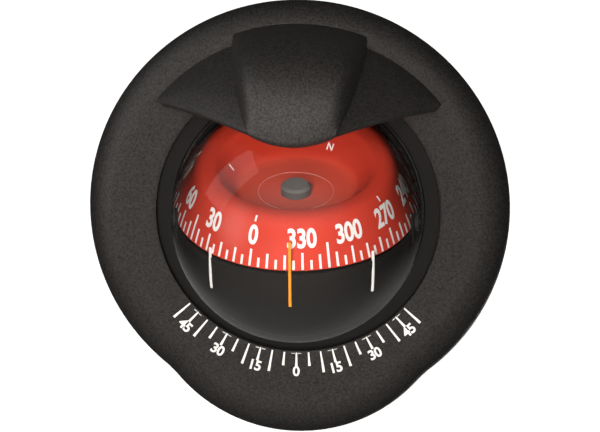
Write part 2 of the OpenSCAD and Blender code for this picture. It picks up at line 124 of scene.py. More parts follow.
def spread(t, fac, lo, hi, socket):
    """The texture's middle range mapped to lo..hi on a socket."""
    m = t.nodes.new("ShaderNodeMapRange")
    m.inputs["From Min"].default_value = 0.3
    m.inputs["From Max"].default_value = 0.7
    m.inputs["To Min"].default_value = lo
    m.inputs["To Max"].default_value = hi
    t.links.new(fac, m.inputs["Value"])
    t.links.new(m.outputs["Result"], socket)


def finish(name, rgb, rough, vary=0.12, rough_vary=0.05, grain=2200.0, depth=0.02, patch=90.0,
           spec=0.5, metal=0.0, stretch=None, coat=0.0, coat_rough=0.1, spark=0.0):
    """A moulded, painted or turned finish: colour that drifts a little, a grain in the surface and in the gloss."""
    m, t, b = new_material(name)
    b.inputs["Metallic"].default_value = metal
    b.inputs["Specular IOR Level"].default_value = spec
    b.inputs["Coat Weight"].default_value = coat
    b.inputs["Coat Roughness"].default_value = coat_rough
    drift = noise(t, patch, 4.0)
    dark = tuple(c * (1 - vary) for c in rgb)
    light = tuple(min(1, c * (1 + vary)) for c in rgb)
    fine = noise(t, grain, 3.0, stretch)
    tone = drift.outputs["Fac"]
    if spark:
        # a spark-eroded mould leaves light and dark specks as well as the slow drift
        mix = t.nodes.new("ShaderNodeMix")
        mix.inputs["Factor"].default_value = spark
        t.links.new(drift.outputs["Fac"], mix.inputs["A"])
        t.links.new(fine.outputs["Fac"], mix.inputs["B"])
        tone = mix.outputs["Result"]
        spread(t, fine.outputs["Fac"], spec * (1 - 0.46 * spark), spec * (1 + 0.46 * spark), b.inputs["Specular IOR Level"])
    c = ramp(t, tone, [(0.3, dark), (0.7, light)])
    t.links.new(c.outputs["Color"], b.inputs["Base Color"])
    spread(t, fine.outputs["Fac"], rough - rough_vary, rough + rough_vary, b.inputs["Roughness"])
    bump = t.nodes.new("ShaderNodeBump")
    bump.inputs["Strength"].default_value = 1.0
    bump.inputs["Distance"].default_value = depth * MM
    t.links.new(fine.outputs["Fac"], bump.inputs["Height"])
    t.links.new(bump.outputs["Normal"], b.inputs["Normal"])
    return m


def clear(name, rgb, ior, rough=0.004, tint=1.0, reflection_sheen=0.0):
    """A clear polished plastic, with a faint wipe-mark pattern in its gloss."""
    m, t, b = new_material(name)
    b.inputs["Base Color"].default_value = (*rgb, 1)
    b.inputs["Transmission Weight"].default_value = tint
    b.inputs["IOR"].default_value = ior
    if reflection_sheen:
        # painted reflection: a faint sheen on the lower half brightens the dome's lower edge, standing in for light
        # reflected there
        b.inputs["Sheen Roughness"].default_value = 0.5
        co = t.nodes.new("ShaderNodeTexCoord")
        part = t.nodes.new("ShaderNodeSeparateXYZ")
        fade = t.nodes.new("ShaderNodeMapRange")
        fade.inputs["From Min"].default_value = 0.004
        fade.inputs["From Max"].default_value = -0.014
        fade.inputs["To Max"].default_value = reflection_sheen
        t.links.new(co.outputs["Object"], part.inputs["Vector"])
        t.links.new(part.outputs["Z"], fade.inputs["Value"])
        t.links.new(fade.outputs["Result"], b.inputs["Sheen Weight"])
    wipe = noise(t, 300.0, 3.0, (1.0, 6.0, 1.0))
    spread(t, wipe.outputs["Fac"], 0.0, rough, b.inputs["Roughness"])
    return m


M = {
    "case_black": finish("case_black", (0.0060, 0.0054, 0.0049), 0.50, vary=0.6, grain=1150, depth=0.10, spec=0.60, spark=0.75),
    "visor_black": finish("visor_black", (0.0095, 0.0086, 0.0079), 0.52, vary=0.6, grain=1150, depth=0.10, spec=0.86, spark=0.75),
    "gloss_black": finish("gloss_black", (0.0035, 0.0033, 0.0031), 0.38, grain=900, depth=0.004, spec=0.22),
    "inner_black": finish("inner_black", (0.0070, 0.0066, 0.0062), 0.50, grain=1500, depth=0.012, spec=0.4),
    "bowl_black": finish("bowl_black", (0.0095, 0.0085, 0.0077), 0.45, grain=700, depth=0.0006, spec=0.04),
    "rubber": finish("rubber", (0.012, 0.012, 0.012), 0.75, grain=1200, depth=0.02, spec=0.35),
    "steel": finish("steel", (0.56, 0.55, 0.53), 0.30, vary=0.06, grain=1800, depth=0.004, metal=1.0, stretch=(1.0, 12.0, 1.0)),
    "brass": finish("brass", (0.66, 0.44, 0.17), 0.28, vary=0.08, grain=1800, depth=0.004, metal=1.0, stretch=(12.0, 1.0, 12.0)),
    "magnet": finish("magnet", (0.16, 0.16, 0.165), 0.45, grain=1500, depth=0.012, metal=0.6),
    "aluminium": finish("aluminium", (0.70, 0.70, 0.71), 0.35, vary=0.05, grain=1600, depth=0.004, metal=1.0, stretch=(10.0, 1.0, 1.0)),
    "card_red": finish("card_red", (0.62, 0.072, 0.039), 0.42, vary=0.05, grain=1400, depth=0.004, patch=60, spec=0.04),
    "hub_grey": finish("hub_grey", (0.131, 0.125, 0.118), 0.45, grain=1500, depth=0.008, spec=0.04),
    "orange": finish("orange", (0.86, 0.30, 0.020), 0.45, vary=0.05, grain=1500, depth=0.004, spec=0.04),
    "white": finish("white", (0.82, 0.80, 0.77), 0.50, vary=0.03, grain=1500, depth=0.004, spec=0.1),
    "foam": finish("foam", (0.62, 0.60, 0.54), 0.85, vary=0.08, grain=900, depth=0.06, spec=0.2),
    "led": finish("led", (0.75, 0.74, 0.68), 0.22, vary=0.04, grain=700, depth=0.003, coat=0.5),
    # the dome's lower half carries a sheen as painted reflection
    "clear_dome": clear("clear_dome", (1.0, 1.0, 1.0), 1.43, reflection_sheen=0.125),
    "jewel_red": clear("jewel_red", (0.55, 0.05, 0.14), 1.76, 0.02),
    "red_lens": clear("red_lens", (0.75, 0.04, 0.02), 1.49, 0.02),
}



def shade(m, fac, stops):
    """Multiplies a finish's colour by a ramp."""
    t = m.node_tree
    b = [n for n in t.nodes if n.type == "BSDF_PRINCIPLED"][0]
    mix = t.nodes.new("ShaderNodeMix")
    mix.data_type, mix.blend_type = "RGBA", "MULTIPLY"
    mix.inputs[0].default_value = 1.0
    t.links.new(b.inputs["Base Color"].links[0].from_socket, mix.inputs[6])
    t.links.new(ramp(t, fac, stops).outputs["Color"], mix.inputs[7])
    t.links.new(mix.outputs[2], b.inputs["Base Color"])


# painted light and shade: the card keeps its full colour on the floor of its recess, is painted deeper on the slope
# round it and a little deeper beyond
rt = M["card_red"].node_tree
about = rt.nodes.new("ShaderNodeMapping")
about.inputs["Scale"].default_value = (25.0, 25.0, 0.0)
about.inputs["Location"].default_value = (-GIMBAL.x * 25, -GIMBAL.y * 25, 0.0)
rt.links.new(rt.nodes.new("ShaderNodeTexCoord").outputs["Object"], about.inputs["Vector"])
reach = rt.nodes.new("ShaderNodeVectorMath")
reach.operation = "LENGTH"
rt.links.new(about.outputs["Vector"], reach.inputs[0])
shade(M["card_red"], reach.outputs["Value"], [(0.40, (1.0, 1.0, 1.0)), (0.48, (0.73, 0.49, 0.47)), (0.58, (0.76, 0.50, 0.48)), (0.66, (0.919, 0.611, 0.590))])
# painted shade: the hub's side is painted darker than its top, by the way its surface faces
ht = M["hub_grey"].node_tree
up = ht.nodes.new("ShaderNodeSeparateXYZ")
ht.links.new(ht.nodes.new("ShaderNodeTexCoord").outputs["Normal"], up.inputs["Vector"])
shade(M["hub_grey"], up.outputs["Z"], [(0.3, (0.56, 0.56, 0.56)), (0.9, (1.0, 1.0, 1.0))])

# where liquid touches the dome's inside there is almost no step in refraction: that face only lets light through
wet, wt, wb = new_material("dome_inside")
wt.nodes.remove(wb)
see = wt.nodes.new("ShaderNodeBsdfTransparent")
film = noise(wt, 120.0, 2.0)
tone = ramp(wt, film.outputs["Fac"], [(0.35, (0.985, 0.99, 0.985)), (0.65, (1.0, 1.0, 1.0))])
wt.links.new(tone.outputs["Color"], see.inputs["Color"])
wt.links.new(see.outputs["BSDF"], wt.nodes["Material Output"].inputs["Surface"])

for row in frame["record"]["subparts"]:
    node = frame["nodes"][row["node"]]
    node.data.materials.clear()
    node.data.materials.append(M[row["material_slot"]])


# ---------------------------------------------------------------- mesh helpers


def piece(name, verts, faces, body, slot, replaces=(), sharp=38, materials=None, index=None):
    """A mesh piece that rides on a body. Normals are made to point outwards."""
    me = bpy.data.meshes.new(name)
    me.from_pydata([tuple(v) for v in verts], [], faces)
    for m in materials or [M[slot]]:
        me.materials.append(m)
    if index:
        me.polygons.foreach_set("material_index", index)
    me.validate()
    bm = bmesh.new()
    bm.from_mesh(me)
    bmesh.ops.recalc_face_normals(bm, faces=bm.faces[:])
    bm.to_mesh(me)
    bm.free()
    me.shade_smooth()
    me.set_sharp_from_angle(angle=math.radians(sharp))
    ob = bpy.data.objects.new(name, me)
    scene.collection.objects.link(ob)
    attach(ob, body)
    if replaces:
        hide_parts(*replaces)
    return ob


def loops(rings, closed):
    """Quads between equal rings of points; closed joins the last ring to the first. Each ring is a closed loop."""
    n = len(rings[0])
    verts = [p for r in rings for p in r]
    faces = []
    last = len(rings) if closed else len(rings) - 1
    for i in range(last):
        a, b = i * n, ((i + 1) % len(rings)) * n
        for j in range(n):
            k = (j + 1) % n
            faces.append((a + j, b + j, b + k, a + k))
    return verts, faces


def lathe(profile, segments, place):
    """A closed profile of (r, z) points turned about the axis. A point at r 0 becomes a pole."""
    verts, faces, rows = [], [], []
    for r, z in profile:
        if r < 1e-6:
            rows.append([len(verts)])
            verts.append(place((0, 0, z)))
        else:
            rows.append(list(range(len(verts), len(verts) + segments)))
            for k in range(segments):
                a = 2 * math.pi * k / segments
                verts.append(place((r * math.cos(a), r * math.sin(a), z)))
    owner = []
    for i in range(len(rows)):
        a, b = rows[i], rows[(i + 1) % len(rows)]
        if len(a) == 1 and len(b) == 1:
            continue
        for k in range(segments):
            n = (k + 1) % segments
            if len(a) == 1:
                faces.append((a[0], b[n], b[k]))
            elif len(b) == 1:
                faces.append((a[k], a[n], b[0]))
            else:
                faces.append((a[k], a[n], b[n], b[k]))
            owner.append(i)
    return verts, faces, owner


def arc(cx, cy, rx, ry, a0, a1, n):
    return [(cx + rx * math.cos(math.radians(a0 + (a1 - a0) * i / n)), cy + ry * math.sin(math.radians(a0 + (a1 - a0) * i / n))) for i in range(n + 1)]


def tube(place, centre, ro, ri, z0, z1, segments=40):
    """A closed tube about a line parallel to the third axis, or a solid pin where ri is 0."""
    prof = [(ro, z0), (ro, z1), (ri, z1), (ri, z0)] if ri > 0 else [(0, z0), (ro, z0), (ro, z1), (0, z1)]
    v, f, _ = lathe(prof, segments, lambda p: place((p[0] + centre[0], p[1] + centre[1], p[2])))
    return v, f


def joined(*parts):
    verts, faces = [], []
    for v, f in parts:
        n = len(verts)
        verts += list(v)
        faces += [tuple(i + n for i in q) for q in f]
    return verts, faces


def cut(ob, cutter_parts):
    """Cuts closed shapes out of a piece for good."""
    v, f = joined(*cutter_parts)
    me = bpy.data.meshes.new("cutter")
    me.from_pydata([tuple(p) for p in v], [], f)
    bm = bmesh.new()
    bm.from_mesh(me)
    bmesh.ops.recalc_face_normals(bm, faces=bm.faces[:])
    bm.to_mesh(me)
    bm.free()
    c = bpy.data.objects.new("cutter", me)
    scene.collection.objects.link(c)
    mod = ob.modifiers.new("cut", "BOOLEAN")
    mod.operation, mod.solver, mod.object = "DIFFERENCE", "EXACT", c
    dg = bpy.context.evaluated_depsgraph_get()
    made = bpy.data.meshes.new_from_object(ob.evaluated_get(dg))
    ob.modifiers.clear()
    ob.data = made
    bpy.data.objects.remove(c)
    ob.data.shade_smooth()
    ob.data.set_sharp_from_angle(angle=math.radians(38))


# ---------------------------------------------------------------- flange moulding


def outline(a):
    """Radius of the flange and chin outline at an angle from +u, with the inner corners eased."""
    dc = -CHIN_DROP * math.sin(a)
    k = dc * dc - CHIN_DROP**2 + CHIN_R**2
    chin = dc + math.sqrt(k) if k > 0 else 0.0
    ease = 1.2
    h = min(1.0, max(0.0, 0.5 + 0.5 * (FLANGE_R - chin) / ease))
    return chin * (1 - h) + FLANGE_R * h + ease * h * (1 - h)


def bezel():
    rings = []
    count = 540
    for i in range(count):
        a = 2 * math.pi * i / count
        ro = outline(a)
        flat = ro - REACH
        prof = [(WINDOW_R, CLAMP_TOP), (WINDOW_R, FACE_W - 0.55), (WINDOW_R + 0.16, FACE_W - 0.16), (WINDOW_R + 0.55, FACE_W)]
        prof += [(WINDOW_R + 0.55 + (flat - WINDOW_R - 0.55) * j / 7, FACE_W) for j in range(1, 7)]
        prof += arc(flat, FACE_W - RIM, RIM, RIM, 90, ROLL_OFF, 24)
        prof += [(ro - 0.25, BASE_W + 0.25), (ro - 0.8, BASE_W), (ro - SHELL_T, BASE_W)]
        prof += arc(flat, SHOULDER_W, RIM - SHELL_T, FACE_W - SHOULDER_W - SHELL_T, 0, 90, 8)
        prof += [(63.0, FACE_W - SHELL_T), (63.0, CLAMP_TOP)]
        rings.append([tilt((r * math.cos(a), r * math.sin(a), w)) for r, w in prof])
    shell = loops(rings, True)
    bosses = []
    for a in (45, 135, 225, 315):
        p = (74 * math.cos(math.radians(a)), 74 * math.sin(math.radians(a)))
        bosses.append(tube(tilt, p, 4.2, 3.0, BASE_W, 9.2))
    for a in (20, 160, 200, 340):
        p = (64.5 * math.cos(math.radians(a)), 64.5 * math.sin(math.radians(a)))
        bosses.append(tube(tilt, p, 3.4, 1.55, 5.5, 9.9))
    v, f = joined(shell, *bosses)
    ob = piece("bezel_moulding", v, f, "case", "case_black", ["front_bezel"], sharp=50)
    holes = []
    for s in (-1, 1):
        prof = [(0, -98.0), (1.4, -98.0), (1.4, -86.0), (0, -86.0)]
        hv, hf, _ = lathe(prof, 28, lambda p, s=s: tilt((s * 18 + p[0], p[2], 4.6 + p[1])))
        holes.append((hv, hf))
    cut(ob, holes)
    return ob


bezel()


# ---------------------------------------------------------------- sun visor

CD = Vector((0, 0, DOME_W))
TIP = Vector((VISOR_R * math.sin(math.radians(TIP_A)), VISOR_R * math.cos(math.radians(TIP_A)), FACE_W))
CORNER = Vector((17.3, LIP_V + 3.7, LIP_W - 2.5))
WING_N = Vector((0.51, 0.695, 0.508))
SEAM_K = Vector((25.4, 57.6, 38.4))


def bez(e, k, l, t):
    return (1 - t) * (1 - t) * e + 2 * t * (1 - t) * k + t * t * l


def wing_e(q, r=VISOR_R):
    a = math.radians(TIP_A + (SEAM_A - TIP_A) * q)
    return Vector((r * math.sin(a), r * math.cos(a), FACE_W))


def wing_l(q):
    return TIP + (CORNER - TIP) * q + WING_N * (10.0 * q * (1 - q))


def wing_out(q, t):
    mid = (wing_e(1) + wing_l(1)) / 2
    k = (wing_e(q) + wing_l(q)) / 2 + (SEAM_K - mid) * math.sqrt(q)
    return bez(wing_e(q), k, wing_l(q), t)


def panel_e(p, r):
    a = math.radians(PANEL_A * p)
    past = max(0.0, r - FLANGE_R + REACH)
    return Vector((r * math.sin(a), r * math.cos(a), FACE_W - RIM + math.sqrt(RIM * RIM - past * past)))


def panel_l(p):
    return Vector((17.3 * p, LIP_V + 3.7 * p * p, LIP_W - 2.5 * p * p))


def crown(p):
    """How far the panel has rolled off at p: flat in the middle, most of the roll near its long edges."""
    return 0.1 * p * p + 0.9 * p**10


def panel_out(p, t):
    k = Vector((26.4 * p, 74.5 - 14.5 * crown(p), LIP_W + (40.2 - LIP_W) * crown(p)))
    l = panel_l(p)
    return bez(panel_e(p, PANEL_R), k, l + 0.7 * (l - CD).normalized(), t)


def panel_in(p, t):
    k = Vector((24.6 * p, 71.5 - 16.0 * crown(p), 58.5 + (37.8 - 58.5) * crown(p)))
    l = panel_l(p)
    return bez(panel_e(p, VISOR_R - VISOR_T), k, l - VISOR_T * (l - CD).normalized(), t)


def wing_in(q, t):
    if t == 0:
        return wing_e(q, VISOR_R - VISOR_T)
    o = wing_out(q, t)
    p = o - VISOR_T * (o - CD).normalized()
    return Vector((p.x, p.y, max(p.z, FACE_W + 0.4 * t)))


def mirrored(p, s):
    return Vector((s * p.x, p.y, p.z))


def visor():
    rows = 40
    ts = [j / rows for j in range(rows + 1)]
    qs = [0.05 + 0.95 * (i / 34) ** 1.15 for i in range(35)]
    ps = [math.sin(math.pi / 2 * (-1 + 2 * i / 60)) for i in range(61)]
    outer, inner = [], []

    def add(fo, fi):
        outer.append([fo(t) for t in ts])
        inner.append([fi(t) for t in ts])

    def ease(s, share):
        """A column on the step between wing and panel."""
        return (
            lambda t: mirrored(wing_out(1, t), s) * (1 - share) + panel_out(s, t) * share,
            lambda t: mirrored(wing_in(1, t), s) * (1 - share) + panel_in(s * 0.97, t) * share,
        )

    for q in qs:
        add(lambda t, q=q: mirrored(wing_out(q, t), -1), lambda t, q=q: mirrored(wing_in(q, t), -1))
    for share in (0.12, 0.5, 0.86):
        add(*ease(-1, share))
    for p in ps:
        # the panel's long edges are rounded off
        drop = 0.35 * max(0.0, (abs(p) - 0.965) / 0.035) ** 2
        add(lambda t, p=p, d=drop: panel_out(p, t) - d * (panel_out(p, t) - CD).normalized(), lambda t, p=p: panel_in(p * 0.97, t))
    for share in (0.86, 0.5, 0.12):
        add(*ease(1, share))
    for q in reversed(qs):
        add(lambda t, q=q: wing_out(q, t), lambda t, q=q: wing_in(q, t))

    rings = []
    for o, i in zip(outer, inner):
        # the free edge is rounded from the outer to the inner skin
        run = (o[-1] - o[-2]).normalized()
        gap = i[-1] - o[-1]
        thick = gap.length
        edge = []
        for k in range(1, 8):
            a = math.pi * k / 8
            edge.append(o[-1] + gap * (0.5 - 0.5 * math.cos(a)) + run * (0.28 * thick * math.sin(a)))
        rings.append([tilt(p) for p in o] + [tilt(p) for p in edge] + [tilt(p) for p in reversed(i)])
    v, f = loops(rings, False)
    n = len(rings[0])
    m = len(rings[0])
    last = (len(rings) - 1) * m
    # close the two wing tips with strips between the skins
    ends = []
    half = rows + 1
    for base in (0, last):
        for j in range(half + 2):
            a, b = base + j, base + j + 1
            c, d = base + n - 2 - j, base + n - 1 - j
            if b >= c:
                break
            ends.append((a, b, c, d))
        else:
            j = half + 2
        lo, hi = base + j, base + n - 1 - j
        rest = list(range(lo, hi + 1))
        if len(rest) > 2:
            ends.append(tuple(rest))
    shell = (v, f + ends)
    bosses = [tube(tilt, (s * 15, 69.5), 3.2, 1.55, FACE_W, FACE_W + 10) for s in (-1, 1)]
    v, f = joined(shell, *bosses)
    return piece("visor_moulding", v, f, "case", "visor_black", ["sun_visor"], sharp=55)


visor()


# ---------------------------------------------------------------- dome


def dome():
    outer = [(54.5, 5.5), (54.5, 7.5), (54.3, 7.7), (50.2, 7.7), (50.0, 7.9)] + arc(0, DOME_W, DOME_R, DOME_R, 0, 90, 56)
    inner = arc(0, DOME_W, DOME_IN, DOME_IN, 90, 0, 48) + [(DOME_IN, 5.5)]
    v, f, owner = lathe(outer + inner, 192, tilt)
    index = [0 if o < len(outer) - 1 else 1 for o in owner]
    ob = piece("dome_shell", v, f, "case", "clear_dome", ["dome"], sharp=30, materials=[M["clear_dome"], wet], index=index)
    ob.visible_shadow = False
    ob.visible_diffuse = False
    return ob


dome()


# ---------------------------------------------------------------- bowl and card


def bowl():
    low = math.degrees(math.asin(2.8 / 39.6))
    low_in = math.degrees(math.asin(2.8 / 37.9))
    floor_in = math.degrees(math.asin(34 / 37.9))
    prof = arc(0, 0, 39.6, 39.6, -low - 0.35, -90, 44)
    prof[-1] = (0.0, -39.6)
    prof += [(0.0, -34.0), (math.sqrt(37.9**2 - 34**2), -34.0)]
    prof += arc(0, 0, 37.9, 37.9, -floor_in + 0.3, -low_in, 36)
    prof += [(37.95, -2.63), (38.3, -2.55), (38.95, -2.55), (39.35, -2.7)]
    v, f, _ = lathe(prof, 192, level)
    parts = [(v, f)]
    for s in (-1, 1):
        # rounded ears that carry the pitch pins
        ring = [(math.cos(math.radians(a)) * 3, math.sin(math.radians(a)) * 3) for a in range(0, 181, 12)] + [(-3, -6.6), (3, -6.6)]
        back = [level((s * 38.95, y, z)) for y, z in ring]
        front = [level((s * 40.6, y, z)) for y, z in ring]
        n = len(ring)
        ev = back + front
        ef = [tuple(range(n)), tuple(range(2 * n - 1, n - 1, -1))] + [(j, (j + 1) % n, n + (j + 1) % n, n + j) for j in range(n)]
        parts.append((ev, ef))
    v, f = joined(*parts)
    return piece("bowl_moulding", v, f, "bowl", "bowl_black", ["gimbal_bowl"], sharp=40)


bowl()


def lubber(node, width, top, low, deg, slot):
    """An upright line with a blunt front in front of the card, let into the bowl's rim; its foot is black like the bowl."""
    a = math.radians(deg)

    def spin(p):
        return level((p[0] * math.cos(a) - p[1] * math.sin(a), p[0] * math.sin(a) + p[1] * math.cos(a), p[2]))

    h, c = width / 2, 0.16
    ring = [(-h, -38.9), (-h, -40.0 + c), (-h + c, -40.0), (h - c, -40.0), (h, -40.0 + c), (h, -38.9)]
    rings = [[spin((x * k, -39.4 + (y + 39.4) * k, z)) for x, y in ring] for z, k in ((low, 0.8), (low + 0.12, 1.0), (top - 0.12, 1.0), (top, 0.8))]
    v, f = loops(rings, False)
    n = len(ring)
    f += [tuple(range(n)), tuple(range(4 * n - 1, 3 * n - 1, -1))]
    stem = len(f)
    box = [(x, y, z) for z in (low + 0.25, low + 1.15) for x, y in ((-h * 0.8, -39.2), (h * 0.8, -39.2), (h * 0.8, -35.3), (-h * 0.8, -35.3))]
    v, f = joined((v, f), ([spin(p) for p in box], [(0, 3, 2, 1), (4, 5, 6, 7), (0, 1, 5, 4), (1, 2, 6, 5), (2, 3, 7, 6), (3, 0, 4, 7)]))
    piece(node + "_blade", v, f, "bowl", slot, [node], sharp=30, materials=[M[slot], M["bowl_black"]], index=[0] * stem + [1] * (len(f) - stem))


lubber("lubber_line_centre", 1.1, 10.5, -16.5, 0.0, "orange")
lubber("lubber_line_port", 0.8, 1.2, -15.5, -48.4, "white")
lubber("lubber_line_starboard", 0.8, 1.2, -15.5, 48.4, "white")


def chaikin(pts, times):
    for _ in range(times):
        out = [pts[0]]
        for a, b in zip(pts, pts[1:]):
            out.append((a[0] * 0.75 + b[0] * 0.25, a[1] * 0.75 + b[1] * 0.25))
            out.append((a[0] * 0.25 + b[0] * 0.75, a[1] * 0.25 + b[1] * 0.75))
        out.append(pts[-1])
        pts = out
    return pts


# outer skin of the card from the rim over the shoulder into the recess
SKIRT = [(38.34, -1.45), (33.92, 11.2)]
SHOULDER = chaikin([(33.92, 11.2), (33.4, 12.7), (32.7, 14.6), (31.2, 16.3), (29.2, 17.05), (27.2, 17.1), (25.3, 16.95), (24.4, 16.2), (23.6, 15.39)], 3)
RECESS = chaikin([(18.6, 10.31), (17.6, 9.3), (16.2, 9.0), (14.5, 9.0)], 3)
SKIN = [tuple(SKIRT[0][i] + (SKIRT[1][i] - SKIRT[0][i]) * k / 10 for i in (0, 1)) for k in range(10)] + SHOULDER + RECESS


def card():
    prof = [(38.1, -1.62), (38.28, -1.57)] + SKIN + [(3.5, 9.0), (3.5, 8.0), (17.2, 8.0), (18.0, 8.4), (25.0, 15.4), (26.0, 15.9), (27.4, 16.0)]
    prof += [(28.7, 15.8), (30.0, 15.3), (31.1, 14.5), (31.9, 13.5), (32.3, 12.4), (37.2, -1.6), (37.4, -1.62)]
    v, f, _ = lathe(prof, 240, level)
    return piece("card_moulding", v, f, "card", "card_red", ["compass_card"], sharp=32)


card()


# ---------------------------------------------------------------- printed marks


def glyph(body, height, squeeze, weight, step, gap=1.0):
    """The built-in typeface as a flat triangle mesh, centred, of a given height in mm: (points, triangles, border edges)."""
    cu = bpy.data.curves.new("glyph", "FONT")
    cu.body, cu.size, cu.offset, cu.resolution_u, cu.space_character = body, 1.0, weight, 5, gap
    ob = bpy.data.objects.new("glyph", cu)
    scene.collection.objects.link(ob)
    dg = bpy.context.evaluated_depsgraph_get()
    me = bpy.data.meshes.new_from_object(ob.evaluated_get(dg))
    bpy.data.objects.remove(ob)
    bpy.data.curves.remove(cu)
    bm = bmesh.new()
    bm.from_mesh(me)
    bpy.data.meshes.remove(me)
    xs, ys = [v.co.x for v in bm.verts], [v.co.y for v in bm.verts]
    k = height / (max(ys) - min(ys))
    cx, cy = (max(xs) + min(xs)) / 2, (max(ys) + min(ys)) / 2
    for v in bm.verts:
        v.co = Vector(((v.co.x - cx) * k * squeeze, (v.co.y - cy) * k, 0))
    bmesh.ops.remove_doubles(bm, verts=bm.verts[:], dist=1e-4)
    bmesh.ops.triangulate(bm, faces=bm.faces[:])
    for _ in range(3):
        long = [e for e in bm.edges if e.calc_length() > step]
        if not long:
            break
        bmesh.ops.subdivide_edges(bm, edges=long, cuts=1)
        bmesh.ops.triangulate(bm, faces=bm.faces[:])
    for f in bm.faces:
        f.normal_update()
        if f.normal.z < 0:
            f.normal_flip()
    bm.verts.index_update()
    pts = [(v.co.x, v.co.y) for v in bm.verts]
    tris = [tuple(v.index for v in f.verts) for f in bm.faces]
    border = []
    for f in bm.faces:
        for lo in f.loops:
            if len(lo.edge.link_faces) == 1:
                border.append((lo.vert.index, lo.link_loop_next.vert.index))
    bm.free()
    return pts, tris, border


def bar(x0, x1, y0, y1, n=1, taper=1.0):
    """A flat bar as the same kind of mesh: width x0..x1, from y0 to y1 in n steps, its far end taper times as wide."""
    pts, tris, border = [], [], []
    xm = (x0 + x1) / 2
    for j in range(n + 1):
        s = j / n
        k = 1 + (taper - 1) * s
        y = y0 + (y1 - y0) * s
        pts += [(xm + (x0 - xm) * k, y), (xm + (x1 - xm) * k, y)]
    for j in range(n):
        a = 2 * j
        tris += [(a, a + 1, a + 3), (a, a + 3, a + 2)]
        border += [(a + 1, a + 3), (a + 2, a)]
    border += [(0, 1), (2 * n + 1, 2 * n)]
    return pts, tris, border


def printed(flat, place, top=0.07, sunk=0.06):
    """A flat mark as a thin closed solid on a surface: place(x, y, h) gives the point h above it."""
    pts, tris, border = flat
    n = len(pts)
    verts = [place(x, y, top) for x, y in pts] + [place(x, y, -sunk) for x, y in pts]
    faces = list(tris) + [tuple(i + n for i in reversed(t)) for t in tris]
    faces += [(b, a, a + n, b + n) for a, b in border]
    return verts, faces


# heel scale on the flange face: a mark every 5 degrees, numbers at 15, 30 and 45
def heel_place(deg):
    a = math.radians(deg * 0.97)

    def place(x, y, h):
        """x across the mark, y towards the centre, h off the face; deg 0 is straight down, positive to the right."""
        r = -y
        u = r * math.sin(a) + x * math.cos(a)
        v = -r * math.cos(a) + x * math.sin(a)
        return tilt((u, v, FACE_W + h))

    return place


marks = []
for deg in range(-50, 51, 5):
    long = abs(deg) in (10, 20, 40, 50)
    far = 66.6 if long else 63.4
    marks.append(printed(bar(-0.30, 0.30, -57.75, -far, 1, 1.75), heel_place(deg)))
for deg in range(-45, 46, 15):
    text = glyph(str(abs(deg)), 4.3, 1.0, 0.028, 2.0, 0.94)
    put = heel_place(deg)
    marks.append(printed(text, lambda x, y, h, put=put: put(x, y - 65.5, h)))
    for s in (-1, 1):
        marks.append(printed(bar(s * 0.55, s * 2.0, -57.95, -58.2), put))
v, f = joined(*marks)
piece("heel_scale", v, f, "case", "white", sharp=20).visible_glossy = False


# card marks: (r, z) along the skin, measured from the rim
RUN = [0.0]
for a, b in zip(SKIN, SKIN[1:]):
    RUN.append(RUN[-1] + math.hypot(b[0] - a[0], b[1] - a[1]))


def skin_at(s):
    """Point and outward normal of the card's skin at a length s from the rim."""
    s = min(max(s, 0.0), RUN[-1] - 1e-6)
    i = max(k for k in range(len(RUN) - 1) if RUN[k] <= s)
    (r0, z0), (r1, z1) = SKIN[i], SKIN[i + 1]
    d = RUN[i + 1] - RUN[i]
    k = (s - RUN[i]) / d
    tr, tz = (r1 - r0) / d, (z1 - z0) / d
    return r0 + (r1 - r0) * k, z0 + (z1 - z0) * k, tz, -tr


def card_place(label, s0=0.0, inward=False):
    """Places marks at a card reading: x to the reader's right, y up the skin from s0. Inward faces the reader across the recess."""
    side = 1 if inward else -1
    phi = side * math.radians(label - CARD_HEADING)
    mid = skin_at(s0)[0]

    def place(x, y, h):
        r, z, nr, nz = skin_at(s0 - side * y)
        a = phi + x / mid
        return level(((r + nr * h) * math.sin(a), side * (r + nr * h) * math.cos(a), z + nz * h))

    return place


marks = []
for deg in range(0, 360, 5):
    if deg % 90 == 45:
        up = 9.7
    elif deg % 30 == 0:
        up = 6.6
    elif deg % 10 == 0:
        up = 5.7
    else:
        up = 3.8
    marks.append(printed(bar(-0.46, 0.46, 0.25, up, 3), card_place(deg)))
for deg in range(0, 360, 30):
    text = glyph(str(deg), 7.4, 0.76, 0.032, 1.0, 0.98)
    marks.append(printed(text, card_place(deg, 11.9)))
for deg in range(0, 360, 90):
    marks.append(printed(bar(-0.42, 0.42, 16.7, 19.0, 6), card_place(deg)))
inner_s = [RUN[i] for i, p in enumerate(SKIN) if p[0] > 20.6][-1] + 4.2
# north carries its letter on the far slope of the recess, the other quarters a plain stroke
marks.append(printed(glyph("N", 2.0, 0.95, 0.02, 1.0), card_place(0, inner_s, True)))
for deg in (90, 180, 270):
    marks.append(printed(bar(-0.2, 0.2, -1.2, 1.2, 4), card_place(deg, inner_s, True)))
# a fine line round the hub on the floor of the recess
rv, rf, _ = lathe([(11.15, 8.95), (11.185, 8.95), (11.185, 9.04), (11.15, 9.04)], 120, level)
marks.append((rv, rf))
v, f = joined(*marks)
piece("card_marks", v, f, "card", "white", sharp=20)


# ---------------------------------------------------------------- stage

